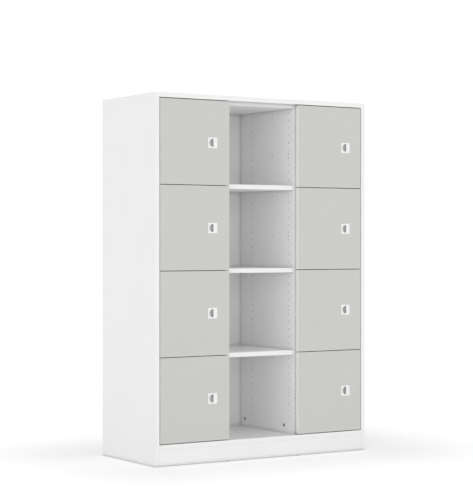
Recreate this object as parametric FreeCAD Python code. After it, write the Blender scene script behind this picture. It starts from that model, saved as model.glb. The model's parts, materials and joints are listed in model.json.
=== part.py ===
import FreeCAD, Part
import math
import os

V = FreeCAD.Vector
X_WAY = V(1, 0, 0)
Y_WAY = V(0, 1, 0)
Z_WAY = V(0, 0, 1)

# Parcel locker: a board cabinet of three equal bays. The outer bays hold four hinged doors
# each, the middle bay is open shelving. All sizes are in millimetres. While it is built, x runs
# from the left side panel's outer face, y from the flush front face to the rear, z from the floor.

# Boards
board = 19.0                 # side panels, dividers, top, bottom, shelves and plinth
back_thickness = 16.0
sub_top_thickness = 16.0     # board under the top, over the dividers
depth = 456.0                # over the side panels
bay_width = 326.0            # clear width of each bay
plinth_height = 67.0
glide_height = 2.0
glide_radius = 7.0
glide_end_inset = 30.0       # centre of the end glides from the front and rear

# Doors
rows = 4
door_pitches = 11            # height of one door and its gap, in hole pitches
door_thickness = 19.0
door_gap = 3.5               # round every door
door_stand_off = 1.5         # behind the closed doors, in front of the dividers
door_open_angle = 95.0

# System holes in the faces of the open bay
pitch = 32.0
pin_radius = 2.5
blind_web = 1.0              # board left between blind holes from both faces
grid_rise = 0.5              # a hole line above the middle of each gap between doors
hole_row_setback = 37.0      # front row from the divider's front edge
middle_row_offset = 124.0    # from the front row
rear_row_offset = 284.0
top_hole_margin = 12.0       # least distance from a hole to the ceiling
middle_row_step = 5.5        # pitches between the middle row's holes
extra_hole_steps = (5.5, 16.5, 26.5, 37.5)   # pitches below the top hole, front row

# Shelves
shelf_front_setback = 3.0    # behind the divider's front edge
shelf_top_above_pin = 7.0
pin_grip = 12.0              # length of a pin inside each board
shelf_side_clearance = 0.2

# Carcass fasteners
fit_clearance = 0.05         # round every fastener in its bore
end_clearance = 0.5          # past the end of every fastener in its bore
angle_tolerance = 0.001
cam_radius = 7.5
cam_depth = 12.5
cam_edge_distance = 34.0     # cam centre from the joint that it pulls together
cam_front_setback = 72.0     # from the divider's front edge
cam_rear_setback = 36.0      # from the divider's rear edge
cam_slot_width = 1.4
cam_slot_depth = 2.5
cam_slot_length = 8.0
cam_bolt_radius = 3.0
cam_bolt_overlap = 4.0       # bolt head past the cam's centre
cam_bolt_grip = 11.0         # threaded end in the board that is joined
dowel_radius = 4.0
dowel_short_end = 10.0
dowel_long_end = 20.0
dowel_from_cam = 32.0
screw_head_radius = 4.0
screw_head_height = 2.5
screw_shank_radius = 2.0
screw_point_web = 5.0        # board left beyond the tip of a screw that holds the top down
top_screw_insets = (60.0, 100.0)   # from the locker bay's walls, and from the board's long edges
back_screw_length = 40.0
back_screws_per_divider = 4
back_screws_in_bottom = 3
back_screw_end_inset = 100.0

# Concealed hinges
cup_radius = 17.5
cup_depth = 12.5
cup_wall = 1.0
cup_edge_distance = 5.0      # from the door's hinge edge to the cup
cup_flange = 1.2
cup_flange_half_height = 26.0
cup_flange_gap = 1.5         # flange edge past the divider's face
hinge_pitches = 3            # each hinge from the door's mid height, in hole pitches
leaf_radius = 32.0           # curved hinge leaves, about the door's turning axis
leaf_thickness = 2.5
leaf_floor_gap = 1.5         # from the leaves to the floor of the cup
leaf_wall_gap = 1.0          # from the leaves to the divider's face
link_half_height = 2.5
arm_cheek = (3.5, 5.5)       # height of the arm's cheeks above and below the hinge's middle
cup_cheek = (6.2, 8.2)
arm_width = 6.0
arm_tail = 26.0              # arm behind the plate's screws
arm_web_gap = 5.0            # from the curved leaves to the web between the cheeks
plate_length = 16.0
plate_foot_length = 24.0     # the plate's thick middle, in front of the arm's end
plate_end_margin = 7.0       # from a screw to the plate's end
plate_thickness = 2.0
plate_screw_radius = 2.5
plate_screw_head = 3.5
plate_screw_head_height = 1.0

# Lock: a square face with a D-shaped finger grip, its case behind the door and a sliding bolt
lock_edge_distance = 81.0    # centre from the door's opening edge
lock_face_proud = 1.5
lock_face_corner = 2.5
lock_neck_clearance = 0.3
grip_wall = 2.5              # shell round the grip
face_border = 3.2            # face round the shell
grip_radius = 16.5
grip_flat = 4.0              # flat pull edge right of the centre
grip_depth = 15.0            # from the face
grip_lip = 3.0               # face over the hollow behind the pull edge
grip_lip_bow = 2.5           # from that hollow's flat wall to the end of its round
case_left = 28.0             # case from the lock's centre
case_right = 50.0
case_half_height = 38.0
case_depth = 22.0
case_corner = 3.0
bolt_thickness = 10.0
bolt_half_height = 6.0
bolt_setback = 8.0           # behind the door
bolt_rear = 22.0             # bolt's ends from the lock's centre, drawn back
bolt_tip = 57.0
bolt_travel = 10.0
bolt_clearance = 0.5
bolt_corner = 1.5

# Strike plates
strike_thickness = 2.0
strike_lip_gap = 0.5         # in front of the bolt
strike_reach_gap = 4.0       # lip's edge from the bolt's tip, drawn back
strike_half_height = 12.0
strike_foot_length = 36.0
strike_screw_radius = 2.0
strike_screw_insets = (18.0, 28.0)   # from the lip

# Sizes that follow
step = door_pitches * pitch
door_height = step - door_gap
hole_depth = (board - blind_web) / 2
wall_screw_length = hole_depth - end_clearance
lock_neck = 2 * (grip_radius + grip_wall)
lock_face = lock_neck + 2 * face_border
width = 4 * board + 3 * bay_width
bottom_z = glide_height + plinth_height
floor_z = bottom_z + board
cover_z = floor_z + rows * door_height + (rows + 1) * door_gap
ceiling_z = cover_z - sub_top_thickness
height = cover_z + board
top_screw_length = sub_top_thickness + board - screw_point_web
divider_front = door_thickness + door_stand_off
back_y = depth - back_thickness
door_overlap = (board - door_gap) / 2
door_width = bay_width - door_gap + door_overlap
shelf_front = divider_front + shelf_front_setback
row_y = divider_front + hole_row_setback
hole_rows = (row_y, row_y + rear_row_offset)
cam_ys = (divider_front + cam_front_setback, back_y - cam_rear_setback)
dowel_ys = (cam_ys[0] + dowel_from_cam, cam_ys[1] - dowel_from_cam)
first_hole_z = floor_z + door_gap / 2 + grid_rise + pitch
hole_count = 1 + int((ceiling_z - top_hole_margin - first_hole_z) / pitch)
top_hole_z = first_hole_z + (hole_count - 1) * pitch
hinge_x = {"left": board + door_gap, "right": width - board - door_gap - door_width}
hinge_wall_x = {"left": board, "right": width - board - bay_width}
strike_wall_x = {"left": board + bay_width, "right": width - board}
leaf_band = (leaf_radius - leaf_thickness / 2, leaf_radius + leaf_thickness / 2)
cup_floor_y = door_thickness - cup_depth + cup_wall
leaf_root_angle = math.degrees(math.asin((cup_floor_y - cup_wall / 2) / leaf_radius))
leaf_start_angle = math.degrees(math.asin((cup_floor_y + leaf_floor_gap) / leaf_band[0]))
leaf_end_angle = math.degrees(math.acos((door_overlap + leaf_wall_gap) / leaf_band[0]))
leaf_back_y = leaf_band[1] * math.sin(math.radians(leaf_end_angle))
bolt_y = (door_thickness + bolt_setback, door_thickness + bolt_setback + bolt_thickness)

# The origin is the middle of the whole base, counting the proud lock faces.
front_y = (lock_face_proud - depth) / 2
to_origin = V(-width / 2, front_y, 0)

bores = []                   # holes that the fasteners need in the boards


def box(x, y, z):
    """A box between two values along each axis."""
    return Part.makeBox(x[1] - x[0], y[1] - y[0], z[1] - z[0], V(x[0], y[0], z[0]))


def rod(start, way, length, radius):
    """A round bar from its start point along way."""
    return Part.makeCylinder(radius, length, start, way)


def fastener(start, way, length, radius):
    """A round fastener. Its bore is kept, to be cut from the boards that it meets."""
    bore_start = start - way * end_clearance
    bores.append(rod(bore_start, way, length + 2 * end_clearance, radius + fit_clearance))
    return rod(start, way, length, radius)


def bored(shape):
    """The board with every bore that reaches it cut out."""
    met = [bore for bore in bores if bore.BoundBox.intersect(shape.BoundBox)]
    return shape.cut(Part.makeCompound(met)) if met else shape


def polar(centre_x, radius, degrees, z):
    """A point in plan at an angle from +x about the vertical line through (centre_x, 0)."""
    angle = math.radians(degrees)
    return V(centre_x + radius * math.cos(angle), radius * math.sin(angle), z)


def leaf(centre_x, start_angle, end_angle, z):
    """A flat curved leaf: a sector of a ring about the door's axis, between two heights."""
    middle = (start_angle + end_angle) / 2
    inner, outer = leaf_band
    z0 = z[0]
    outer_arc = Part.Arc(polar(centre_x, outer, start_angle, z0), polar(centre_x, outer, middle, z0),
                         polar(centre_x, outer, end_angle, z0)).toShape()
    inner_arc = Part.Arc(polar(centre_x, inner, end_angle, z0), polar(centre_x, inner, middle, z0),
                         polar(centre_x, inner, start_angle, z0)).toShape()
    end = Part.makeLine(polar(centre_x, outer, end_angle, z0), polar(centre_x, inner, end_angle, z0))
    start = Part.makeLine(polar(centre_x, inner, start_angle, z0), polar(centre_x, outer, start_angle, z0))
    return Part.Face(Part.Wire([outer_arc, end, inner_arc, start])).extrude(V(0, 0, z[1] - z[0]))


def above_and_below(z, band):
    """The two height ranges that lie above and below a hinge's middle."""
    return ((z + band[0], z + band[1]), (z - band[1], z - band[0]))


def fillet_along(shape, way, radius):
    """Round the edges of a box that run along way."""
    edges = [edge for edge in shape.Edges
             if abs(edge.tangentAt(edge.FirstParameter).dot(way)) > 1 - angle_tolerance]
    return shape.makeFillet(radius, edges)


def row_middle(row):
    """Mid height of the doors in a row, 1 at the bottom."""
    return floor_z + door_gap + door_height / 2 + (row - 1) * step


def shelf_pin_z(row):
    """Hole line behind the gap above a row's doors, for the pins of the shelf there."""
    return floor_z + door_gap / 2 + row * step + grid_rise


# ------------------------------------------------------------------ carcass

def upright_faces():
    """Left and right face of the four upright boards."""
    starts = [count * (board + bay_width) for count in range(4)]
    return [(start, start + board) for start in starts]


def shelf_pins():
    """Steel pins through every upright at each shelf. They carry the boards on both sides."""
    pins = []
    for number, (left, right) in enumerate(upright_faces()):
        start = left - pin_grip if number > 0 else right - pin_grip
        end = right + pin_grip if number < 3 else left + pin_grip
        for row in range(1, rows):
            for y in hole_rows:
                pins.append(fastener(V(start, y, shelf_pin_z(row)), X_WAY, end - start, pin_radius))
    return Part.makeCompound(pins)


def cam(face_point, into_board, to_joint, thickness=board):
    """A cam disc sunk in a face and the bolt that it pulls, which runs through the joint."""
    centre = face_point + into_board * (thickness / 2)
    bores.append(rod(face_point - into_board, into_board, cam_depth + 1 + end_clearance,
                     cam_radius + fit_clearance))
    disc = rod(face_point, into_board, cam_depth, cam_radius)
    bolt_start = centre - to_joint * cam_bolt_overlap
    bolt_length = cam_bolt_overlap + cam_edge_distance + cam_bolt_grip
    bolt = fastener(bolt_start, to_joint, bolt_length, cam_bolt_radius)
    disc = disc.cut(bores[-1])
    across = into_board.cross(to_joint)
    for long_way, short_way in ((to_joint, across), (across, to_joint)):
        corner = (face_point - long_way * (cam_slot_length / 2) - short_way * (cam_slot_width / 2))
        far = (face_point + long_way * (cam_slot_length / 2) + short_way * (cam_slot_width / 2)
               + into_board * cam_slot_depth)
        spans = [(min(a, b), max(a, b)) for a, b in zip(corner, far)]
        disc = disc.cut(box(*spans))
    return [disc, bolt]


def cam_fittings():
    """Cams at both ends of the dividers and under the ends of the sub-top and bottom board."""
    faces = upright_faces()
    pieces = []
    for y in cam_ys:
        top_z = ceiling_z - cam_edge_distance
        low_z = floor_z + cam_edge_distance
        # The dividers are pulled up to the sub-top from their faces inside the locker bays.
        pieces += cam(V(faces[1][0], y, top_z), X_WAY, Z_WAY)
        pieces += cam(V(faces[2][1], y, top_z), -X_WAY, Z_WAY)
        # The dividers are pulled down to the bottom board from the open bay.
        pieces += cam(V(faces[1][1], y, low_z), -X_WAY, -Z_WAY)
        pieces += cam(V(faces[2][0], y, low_z), X_WAY, -Z_WAY)
        # The side panels are pulled to the sub-top and the bottom board from below them.
        for under, thickness in ((ceiling_z, sub_top_thickness), (bottom_z, board)):
            pieces += cam(V(faces[0][1] + cam_edge_distance, y, under), Z_WAY, -X_WAY, thickness)
            pieces += cam(V(faces[3][0] - cam_edge_distance, y, under), Z_WAY, X_WAY, thickness)
    return Part.makeCompound(pieces)


def dowel(joint_point, to_long_end):
    """A wooden dowel across a joint, with its long end in the board that meets edge on."""
    start = joint_point - to_long_end * dowel_short_end
    return fastener(start, to_long_end, dowel_short_end + dowel_long_end, dowel_radius)


def carcass_dowels():
    """Dowels between the uprights, the boards over and under them and the plinth."""
    faces = upright_faces()
    dowels = []
    for y in dowel_ys:
        for left, right in (faces[0], faces[3]):
            dowels.append(dowel(V((left + right) / 2, y, cover_z), -Z_WAY))
        for left, right in faces[1:3]:
            dowels.append(dowel(V((left + right) / 2, y, ceiling_z), -Z_WAY))
            dowels.append(dowel(V((left + right) / 2, y, floor_z), Z_WAY))
        dowels.append(dowel(V(faces[0][1], y, bottom_z + board / 2), X_WAY))
        dowels.append(dowel(V(faces[3][0], y, bottom_z + board / 2), -X_WAY))
    for share in (0.25, 0.75):
        z = glide_height + share * plinth_height
        dowels.append(dowel(V(faces[0][1], board / 2, z), X_WAY))
        dowels.append(dowel(V(faces[3][0], board / 2, z), -X_WAY))
    return Part.makeCompound(dowels)


def board_screw(start, way, length):
    """A countersunk screw along way, with its head flush at the start."""
    head = Part.makeCone(screw_head_radius, screw_shank_radius, screw_head_height, start, way)
    shank = fastener(start, way, length, screw_shank_radius)
    bores.append(Part.makeCone(screw_head_radius + fit_clearance, screw_shank_radius + fit_clearance,
                               screw_head_height, start, way))
    return head.fuse(shank)


def spread(low, high, count):
    """Evenly spaced values, the ends included."""
    return [low + (high - low) * number / (count - 1) for number in range(count)]


def board_screws():
    """Screws up through the sub-top into the top, and through the back into the boards' edges."""
    screws = []
    end_inset, edge_inset = top_screw_insets
    for bay_left in (board, width - board - bay_width):
        for x in (bay_left + end_inset, bay_left + bay_width - end_inset):
            for y in (divider_front + edge_inset, back_y - edge_inset):
                screws.append(board_screw(V(x, y, ceiling_z), Z_WAY, top_screw_length))
    for left, right in upright_faces()[1:3]:
        heights = spread(floor_z + back_screw_end_inset, ceiling_z - back_screw_end_inset,
                         back_screws_per_divider)
        screws += [board_screw(V((left + right) / 2, depth, z), -Y_WAY, back_screw_length)
                   for z in heights]
    for x in spread(board + back_screw_end_inset, width - board - back_screw_end_inset,
                    back_screws_in_bottom):
        screws.append(board_screw(V(x, depth, bottom_z + board / 2), -Y_WAY, back_screw_length))
    return Part.makeCompound(screws)


def floor_glides():
    """Glides under the side panels' ends and under the plinth board."""
    spots = [(board / 2, glide_end_inset), (board / 2, depth - glide_end_inset),
             (width - board / 2, glide_end_inset), (width - board / 2, depth - glide_end_inset),
             (width / 3, board / 2), (2 * width / 3, board / 2)]
    return Part.makeCompound([rod(V(x, y, 0), Z_WAY, glide_height, glide_radius) for x, y in spots])


def system_holes(face_x, into_board):
    """The rows of shelf-pin holes in one face of a divider."""
    front, rear = hole_rows
    spots = [(y, first_hole_z + pitch * number) for y in hole_rows for number in range(1, hole_count)]
    spots += [(front, top_hole_z - pitch * steps) for steps in extra_hole_steps
              if top_hole_z - pitch * steps > first_hole_z]
    middle_z = top_hole_z
    while middle_z > first_hole_z:
        spots.append((front + middle_row_offset, middle_z))
        middle_z -= pitch * middle_row_step
    holes = [rod(V(face_x, y, z) - into_board, into_board, hole_depth + 1, pin_radius)
             for y, z in spots]
    return Part.makeCompound(holes)


def shelf(left, right, row):
    """A fixed shelf between two uprights, over the doors of a row."""
    top = shelf_pin_z(row) + shelf_top_above_pin
    return box((left + shelf_side_clearance, right - shelf_side_clearance), (shelf_front, back_y),
               (top - board, top))


def carcass():
    """The boards, each with the bores of the fasteners that reach it."""
    faces = upright_faces()
    side_z = (glide_height, cover_z)
    divider_y = (divider_front, back_y)
    divider_z = (floor_z, ceiling_z)
    between = (board, width - board)
    left_divider = box(faces[1], divider_y, divider_z).cut(system_holes(faces[1][1], -X_WAY))
    right_divider = box(faces[2], divider_y, divider_z).cut(system_holes(faces[2][0], X_WAY))
    boards = {
        "left_side_panel": box(faces[0], (0, depth), side_z),
        "right_side_panel": box(faces[3], (0, depth), side_z),
        "left_divider": left_divider,
        "right_divider": right_divider,
        "top_panel": box((0, width), (0, depth), (cover_z, height)),
        "sub_top_panel": box(between, divider_y, (ceiling_z, cover_z)),
        "bottom_panel": box(between, (0, back_y), (bottom_z, floor_z)),
        "back_panel": box(between, (back_y, depth), side_z),
        "plinth_board": box(between, (0, board), (glide_height, bottom_z)),
    }
    for row in range(1, rows):
        boards["open_shelf_%d" % row] = shelf(faces[1][1], faces[2][0], row)
    for name in boards:
        boards[name] = bored(boards[name])
    floors = [bored(shelf(left, right, row)) for row in range(1, rows)
              for left, right in ((faces[0][1], faces[1][0]), (faces[2][1], faces[3][0]))]
    boards["locker_floors"] = Part.makeCompound(floors)
    return boards


# ------------------------------------------------------------------ hinges

def hinge_heights(row):
    """Heights of a door's two hinges."""
    rise = hinge_pitches * pitch
    return (row_middle(row) - rise, row_middle(row) + rise)


def hinge_arm(side, z):
    """Arm and mounting plate of one hinge, with its two screws in the wall."""
    axis_x = hinge_x[side]
    wall_x = hinge_wall_x[side]
    arm_x = axis_x + leaf_band[0] * math.cos(math.radians(leaf_end_angle))
    arm_start = leaf_band[0] * math.sin(math.radians(leaf_end_angle))
    arm_end = row_y + arm_tail
    solids = []
    for cheek in above_and_below(z, arm_cheek):
        solids.append(leaf(axis_x, leaf_start_angle, leaf_end_angle, cheek))
        solids.append(box((arm_x, arm_x + arm_width), (arm_start, arm_end), cheek))
    solids.append(box((arm_x, arm_x + arm_width), (leaf_back_y + arm_web_gap, arm_end),
                      (z - arm_cheek[1], z + arm_cheek[1])))
    solids.append(box((wall_x, arm_x + arm_width / 2), (row_y - plate_foot_length / 2, arm_end),
                      (z - arm_cheek[1], z + arm_cheek[1])))
    plate_half_height = pitch / 2 + plate_end_margin
    solids.append(box((wall_x, wall_x + plate_thickness),
                      (row_y - plate_length / 2, row_y + plate_length / 2),
                      (z - plate_half_height, z + plate_half_height)))
    for screw_z in (z - pitch / 2, z + pitch / 2):
        middle = V(wall_x, row_y, screw_z)
        solids.append(fastener(middle - X_WAY * wall_screw_length, X_WAY,
                               wall_screw_length + plate_thickness, plate_screw_radius))
        solids.append(rod(middle + X_WAY * plate_thickness, X_WAY, plate_screw_head_height,
                          plate_screw_head))
    return solids[0].multiFuse(solids[1:]).removeSplitter()


def hinge_cup(side, z):
    """Cup let into the door's back, with its flange and the two leaves that stand in it."""
    axis_x = hinge_x[side]
    mouth = V(axis_x + cup_edge_distance + cup_radius, door_thickness, z)
    cup = rod(mouth, -Y_WAY, cup_depth, cup_radius)
    flange = box((axis_x + door_overlap + cup_flange_gap, axis_x + cup_edge_distance + 2 * cup_radius),
                 (door_thickness, door_thickness + cup_flange),
                 (z - cup_flange_half_height, z + cup_flange_half_height))
    hollow = rod(mouth + Y_WAY * cup_flange, -Y_WAY, cup_flange + cup_depth - cup_wall,
                 cup_radius - cup_wall)
    cup = cup.fuse(flange).cut(hollow)
    leaves = [leaf(axis_x, leaf_root_angle, leaf_end_angle, cheek)
              for cheek in above_and_below(z, cup_cheek)]
    return cup.multiFuse(leaves).removeSplitter()


def hinge_link(side, z):
    """Middle leaf of a hinge, between the arm's leaves."""
    return leaf(hinge_x[side], leaf_start_angle, leaf_end_angle,
                (z - link_half_height, z + link_half_height))


# ------------------------------------------------------------------ doors

def lock_centre_x(side):
    """Centre line of the locks in a column."""
    return hinge_x[side] + door_width - lock_edge_distance


def door_panel(side, row):
    """A door with the cups' pockets and the lock's square cut-out."""
    x = hinge_x[side]
    z = row_middle(row)
    panel = box((x, x + door_width), (0, door_thickness), (z - door_height / 2, z + door_height / 2))
    pockets = [rod(V(x + cup_edge_distance + cup_radius, door_thickness + 1, hinge_z), -Y_WAY,
                   cup_depth + 1 + fit_clearance, cup_radius + fit_clearance)
               for hinge_z in hinge_heights(row)]
    half = lock_neck / 2 + lock_neck_clearance
    lock_x = lock_centre_x(side)
    cut_out = box((lock_x - half, lock_x + half), (-1, door_thickness + 1), (z - half, z + half))
    return panel.cut(Part.makeCompound(pockets + [cut_out]))


def d_prism(lock_x, z, flat, y):
    """A round bar along y, cut off by a flat that lies right of its centre."""
    half = math.sqrt(grip_radius ** 2 - flat ** 2)
    top = V(lock_x + flat, y[0], z + half)
    bottom = V(lock_x + flat, y[0], z - half)
    bow = Part.Arc(top, V(lock_x - grip_radius, y[0], z), bottom).toShape()
    outline = Part.Wire([bow, Part.makeLine(bottom, top)])
    return Part.Face(outline).extrude(Y_WAY * (y[1] - y[0]))


def grip_hollow(lock_x, z):
    """The finger grip: a D-shaped mouth, and a wider hollow that reaches behind its flat edge."""
    lip_back = grip_lip - lock_face_proud
    mouth = d_prism(lock_x, z, grip_flat, (-lock_face_proud, lip_back))
    hollow = d_prism(lock_x, z, grip_radius - grip_lip_bow, (lip_back, grip_depth - lock_face_proud))
    return mouth.fuse(hollow).removeSplitter()


def lock(side, row):
    """Lock face with its finger grip, and the case behind the door with the bolt's channel."""
    lock_x = lock_centre_x(side)
    z = row_middle(row)
    half_face = lock_face / 2
    half_neck = lock_neck / 2
    face = fillet_along(box((lock_x - half_face, lock_x + half_face), (-lock_face_proud, 0),
                            (z - half_face, z + half_face)), Y_WAY, lock_face_corner)
    neck = box((lock_x - half_neck, lock_x + half_neck), (0, door_thickness),
               (z - half_neck, z + half_neck))
    shell = face.fuse(neck).cut(grip_hollow(lock_x, z))
    case = fillet_along(box((lock_x - case_left, lock_x + case_right),
                            (door_thickness, door_thickness + case_depth),
                            (z - case_half_height, z + case_half_height)), Y_WAY, case_corner)
    channel = box((lock_x + bolt_rear - bolt_travel, lock_x + case_right + 1),
                  (bolt_y[0] - bolt_clearance, bolt_y[1] + bolt_clearance),
                  (z - bolt_half_height - bolt_clearance, z + bolt_half_height + bolt_clearance))
    return Part.makeCompound([shell, case.cut(channel)])


def lock_bolt(side, row):
    """The bolt, drawn back. It slides towards the door's opening edge."""
    lock_x = lock_centre_x(side)
    z = row_middle(row)
    bar = box((lock_x + bolt_rear, lock_x + bolt_tip), bolt_y,
              (z - bolt_half_height, z + bolt_half_height))
    return fillet_along(bar, X_WAY, bolt_corner)


def strike(side, row):
    """Angle on the wall: its lip stands in front of the bolt when that is out."""
    wall_x = strike_wall_x[side]
    z = row_middle(row)
    span = (z - strike_half_height, z + strike_half_height)
    lip_back = bolt_y[0] - strike_lip_gap
    lip_front = lip_back - strike_thickness
    lip = box((lock_centre_x(side) + bolt_tip + strike_reach_gap, wall_x), (lip_front, lip_back), span)
    foot = box((wall_x - strike_thickness, wall_x), (lip_front, lip_front + strike_foot_length), span)
    solids = [foot]
    for inset in strike_screw_insets:
        solids.append(fastener(V(wall_x - strike_thickness, lip_back + inset, z), X_WAY,
                               strike_thickness + wall_screw_length, strike_screw_radius))
    return lip.multiFuse(solids).removeSplitter()


def locker_parts():
    """Doors, hinges, locks, bolts and strikes of both columns."""
    parts = {}
    arms = []
    strikes = []
    for side in ("left", "right"):
        for row in range(1, rows + 1):
            heights = hinge_heights(row)
            arms += [hinge_arm(side, z) for z in heights]
            strikes.append(strike(side, row))
            cups = [hinge_cup(side, z) for z in heights]
            links = [hinge_link(side, z) for z in heights]
            parts["%s_door_%d" % (side, row)] = door_panel(side, row)
            parts["%s_hinge_cups_%d" % (side, row)] = Part.makeCompound(cups)
            parts["%s_hinge_links_%d" % (side, row)] = Part.makeCompound(links)
            parts["%s_lock_%d" % (side, row)] = lock(side, row)
            parts["%s_lock_bolt_%d" % (side, row)] = lock_bolt(side, row)
    parts["hinge_arms"] = Part.makeCompound(arms)
    parts["strike_plates"] = Part.makeCompound(strikes)
    return parts


def build():
    """Every node's shape. The fasteners come first, because the boards take their bores."""
    nodes = {
        "shelf_pins": shelf_pins(),
        "cam_fittings": cam_fittings(),
        "carcass_dowels": carcass_dowels(),
        "board_screws": board_screws(),
        "floor_glides": floor_glides(),
    }
    nodes.update(locker_parts())
    nodes.update(carcass())
    return nodes


os.makedirs("parts", exist_ok=True)
for name, shape in build().items():
    placed = shape.translated(to_origin)
    assert placed.isValid(), name
    placed.exportStep(os.path.join("parts", name + ".step"))
    print(name, len(placed.Solids), round(placed.Volume))
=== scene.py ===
"""Parcel locker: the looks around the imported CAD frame. All lengths are in metres."""
import json
import logging
import math
from dataclasses import dataclass
from enum import Enum

import bpy
import numpy as np
from mathutils import Euler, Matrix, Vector


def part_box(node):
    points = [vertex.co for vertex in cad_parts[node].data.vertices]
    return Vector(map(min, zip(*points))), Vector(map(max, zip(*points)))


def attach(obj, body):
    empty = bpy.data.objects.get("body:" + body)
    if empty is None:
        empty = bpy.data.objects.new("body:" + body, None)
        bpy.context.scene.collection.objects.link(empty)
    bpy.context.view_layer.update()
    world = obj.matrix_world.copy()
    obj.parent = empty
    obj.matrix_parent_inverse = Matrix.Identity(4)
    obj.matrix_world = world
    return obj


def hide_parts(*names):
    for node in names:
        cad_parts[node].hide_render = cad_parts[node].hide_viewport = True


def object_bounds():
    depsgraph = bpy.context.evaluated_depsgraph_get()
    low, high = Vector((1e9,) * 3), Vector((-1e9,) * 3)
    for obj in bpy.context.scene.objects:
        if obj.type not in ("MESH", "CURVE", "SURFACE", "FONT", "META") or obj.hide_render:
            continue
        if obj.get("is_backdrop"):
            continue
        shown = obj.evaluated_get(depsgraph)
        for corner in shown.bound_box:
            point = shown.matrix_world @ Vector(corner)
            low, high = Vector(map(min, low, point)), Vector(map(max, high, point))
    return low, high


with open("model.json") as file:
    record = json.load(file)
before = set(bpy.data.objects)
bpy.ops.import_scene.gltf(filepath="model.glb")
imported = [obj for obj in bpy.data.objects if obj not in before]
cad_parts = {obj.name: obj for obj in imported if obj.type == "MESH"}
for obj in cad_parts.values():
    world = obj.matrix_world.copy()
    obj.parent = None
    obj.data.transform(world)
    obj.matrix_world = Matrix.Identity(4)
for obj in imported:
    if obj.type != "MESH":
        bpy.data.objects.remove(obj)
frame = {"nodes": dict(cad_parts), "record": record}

MM = 0.001
ROWS = 4
REARWARD = (0.0, 1.0, 0.0)
LOG = logging.getLogger("parcel_locker")


class Side(Enum):
    """The two columns of lockers."""

    LEFT = "left"
    RIGHT = "right"


# ---------------------------------------------------------------- surfaces

def grid_faces(count_u: int, count_v: int, closed_u: bool = False) -> np.ndarray:
    """Quads of a grid whose v direction closes on itself.

    Corner (i, j) is vertex i * count_v + j. Each quad joins row i to row i + 1.

    Args:
        count_u: rows of the grid.
        count_v: vertices in each row, which is a closed loop.
        closed_u: whether the last row joins the first.

    Returns:
        An array of quads, four vertex numbers each.
    """
    last = count_u if closed_u else count_u - 1
    i, j = np.meshgrid(np.arange(last), np.arange(count_v), indexing="ij")
    i_next, j_next = (i + 1) % count_u, (j + 1) % count_v
    quads = np.stack([i * count_v + j, i * count_v + j_next,
                      i_next * count_v + j_next, i_next * count_v + j], axis=-1)
    return quads.reshape(-1, 4)


def loft(loops: np.ndarray) -> tuple[np.ndarray, list]:
    """A closed skin over a stack of loops, with a fan to the centre of the first and last.

    Args:
        loops: array (loops, points, 3), every loop running the same way.

    Returns:
        The vertices and the faces.
    """
    rows, points, _ = loops.shape
    ends = np.stack([loops[0].mean(axis=0), loops[-1].mean(axis=0)])
    vertices = np.concatenate([loops.reshape(-1, 3), ends])
    quads = grid_faces(rows, points)
    j = np.arange(points)
    j_next = (j + 1) % points
    first = np.stack([np.full(points, rows * points), j_next, j], axis=-1)
    base = (rows - 1) * points
    final = np.stack([np.full(points, rows * points + 1), base + j, base + j_next], axis=-1)
    return vertices, quads.tolist() + first.tolist() + final.tolist()


def joined(parts: list) -> tuple[np.ndarray, list]:
    """Several meshes as one mesh of separate shells.

    Args:
        parts: the (vertices, faces) pairs.

    Returns:
        The vertices and the faces.
    """
    vertices, faces, start = [], [], 0
    for part_vertices, part_faces in parts:
        vertices.append(part_vertices)
        faces += [[start + number for number in one] for one in part_faces]
        start += len(part_vertices)
    return np.concatenate(vertices), faces


def rounded_rectangle(half_x: float, half_z: float, corner: float, angles: np.ndarray,
                      centre: tuple[float, float] = (0.0, 0.0)) -> np.ndarray:
    """Points of a rounded rectangle where rays from a centre inside it meet it.

    A ray meets the nearer of the two side lines. Where that point is past the start of a corner
    arc, the ray is cut with the arc's circle.

    Args:
        half_x: half the width.
        half_z: half the height.
        corner: radius of the corners.
        angles: directions of the rays, in radians.
        centre: where the rays start.

    Returns:
        Array (angles, 2) of x and z.
    """
    way = np.stack([np.cos(angles), np.sin(angles)], axis=-1)
    start = np.array(centre)
    half = np.array([half_x, half_z])
    safe = np.where(np.abs(way) < 1e-9, 1e-9, way)
    reach = ((np.sign(safe) * half - start) / safe).min(axis=1)
    hit = start + reach[:, None] * way
    middle = np.sign(hit) * (half - corner)
    in_corner = (np.abs(hit) > np.abs(middle) - 1e-12).all(axis=1)
    offset = start - middle
    along = (offset * way).sum(axis=1)
    inside = np.maximum(along ** 2 - (offset ** 2).sum(axis=1) + corner ** 2, 0.0)
    arc_reach = -along + np.sqrt(inside)
    reach = np.where(in_corner, arc_reach, reach)
    return start + reach[:, None] * way


def arc_outline(half_x: float, half_z: float, corner: float, steps: int = 6) -> np.ndarray:
    """Points of a rounded rectangle that follow its four corner arcs.

    Arc n is centred half the sides less the corner's radius away, and turns from n to n + 1
    quarter turns. Straight sides join the arcs.

    Args:
        half_x: half the width.
        half_z: half the height.
        corner: radius of the corners.
        steps: edges in each arc.

    Returns:
        Array (4 * (steps + 1), 2) of x and z.
    """
    quarter, part = np.meshgrid(np.arange(4), np.linspace(0, math.pi / 2, steps + 1), indexing="ij")
    angle = quarter * math.pi / 2 + part
    middle = quarter * math.pi / 2 + math.pi / 4
    x = np.sign(np.cos(middle)) * (half_x - corner) + corner * np.cos(angle)
    z = np.sign(np.sin(middle)) * (half_z - corner) + corner * np.sin(angle)
    return np.stack([x.ravel(), z.ravel()], axis=-1)


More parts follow.
